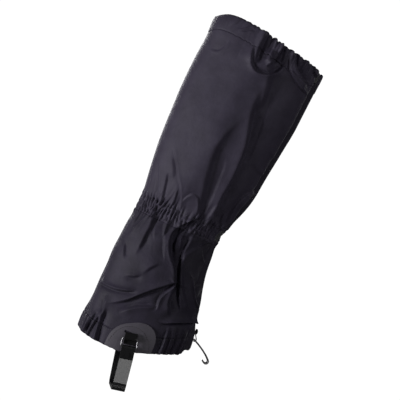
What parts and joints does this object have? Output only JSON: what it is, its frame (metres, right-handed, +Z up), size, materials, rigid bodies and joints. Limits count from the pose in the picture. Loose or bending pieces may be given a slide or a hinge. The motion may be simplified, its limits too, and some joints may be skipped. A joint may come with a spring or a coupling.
{
  "type": "hiking gaiter",
  "caption": "Knee-high fabric gaiter with gathered ankle and hems, front flap closure, half-moon side patches, buckled instep strap and lace hook.",
  "frame": {"origin": "middle of the boot opening, at the level of the hem at the heel", "axes": "+X to the toes, +Y to the wearer's left, which is the outer side of this left-leg gaiter, +Z up the leg"},
  "size_m": [0.1836, 0.1063, 0.5081],
  "materials": {
    "calf_fabric": "coated nylon, fine plain weave",
    "boot_fabric": "coated nylon, tougher plain weave",
    "patch": "rubberised reinforcement, fine grain",
    "strap": "smooth black coated webbing",
    "webbing": "narrow black nylon webbing",
    "hook_tape": "hook side of hook-and-loop tape",
    "loop_tape": "loop side of hook-and-loop tape",
    "seam_tape": "thin bonded seam tape",
    "elastic": "ribbed woven elastic",
    "black_rivet": "black painted rivet",
    "steel": "satin steel wire"
  },
  "bodies": {
    "shell": {"calf_right_panel": "calf_fabric", "calf_left_panel": "calf_fabric", "boot_right_panel": "boot_fabric", "boot_left_panel": "boot_fabric", "top_casing_right": "calf_fabric", "top_casing_left": "calf_fabric", "hem_casing_right": "boot_fabric", "hem_casing_left": "boot_fabric", "front_placket": "calf_fabric", "loop_tape": "loop_tape", "top_elastic": "elastic", "ankle_elastic": "elastic", "ankle_casing": "calf_fabric", "hem_elastic_back": "elastic", "hem_elastic_front_left": "elastic", "calf_seam_tape": "seam_tape", "boot_seam_tape": "seam_tape", "right_patch": "patch", "left_patch": "patch", "hook_tab": "webbing", "hook_rivet": "steel"},
    "flap": {"front_flap": "calf_fabric", "hook_tape": "hook_tape", "flap_ankle_elastic": "elastic", "flap_hem_elastic": "elastic"},
    "strap": {"instep_strap": "strap", "strap_rivet": "black_rivet", "strap_ring": "steel", "buckle_frame": "steel", "ring_tab": "webbing", "buckle_tab": "webbing"},
    "prong": {"buckle_prong": "steel"},
    "lace_hook": {"lace_hook": "steel"}
  },
  "joints": [
    {"name": "flap_hinge", "type": "hinge", "parent": "shell", "child": "flap", "pos_m": [0.031, -0.0475, 0], "axis": [0.0371, 0, -0.9993], "range_deg": [0, 140]},
    {"name": "strap_swing", "type": "hinge", "parent": "shell", "child": "strap", "pos_m": [-0.007, 0, 0.028], "axis": [0, 1, 0], "range_deg": [-20, 30]},
    {"name": "prong_pivot", "type": "hinge", "parent": "strap", "child": "prong", "pos_m": [-0.00575, 0.049, 0.02213], "axis": [0.9781, 0, 0.2079], "range_deg": [0, 22]},
    {"name": "lace_hook_swing", "type": "hinge", "parent": "shell", "child": "lace_hook", "pos_m": [0.0765, 0, 0.051], "axis": [0, 1, 0], "range_deg": [-45, 20]}
  ]
}
